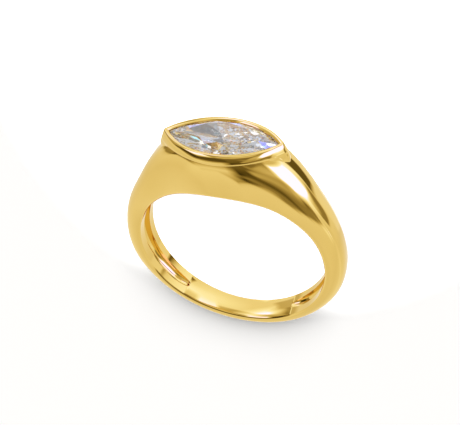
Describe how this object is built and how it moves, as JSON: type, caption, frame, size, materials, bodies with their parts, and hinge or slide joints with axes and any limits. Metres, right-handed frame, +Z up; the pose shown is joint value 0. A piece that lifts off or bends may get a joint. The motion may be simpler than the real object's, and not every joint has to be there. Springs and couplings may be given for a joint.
{
  "type": "moissanite ring",
  "caption": "Gold ring with a band that swells into a broad head, hollow at the back, and a bezel-set marquise moissanite across the finger.",
  "frame": {"origin": "on the ground below the middle of the ring's bounding box", "axes": "+Z up, 5.5 degrees off the finger hole's axis, +Y towards the stone, +X along the stone's length"},
  "size_m": [0.0208, 0.023, 0.0061],
  "materials": {
    "gold": "polished yellow gold",
    "moissanite": "clear faceted stone"
  },
  "bodies": {
    "root": {"ring_mount": "gold", "stone": "moissanite"}
  },
  "joints": []
}
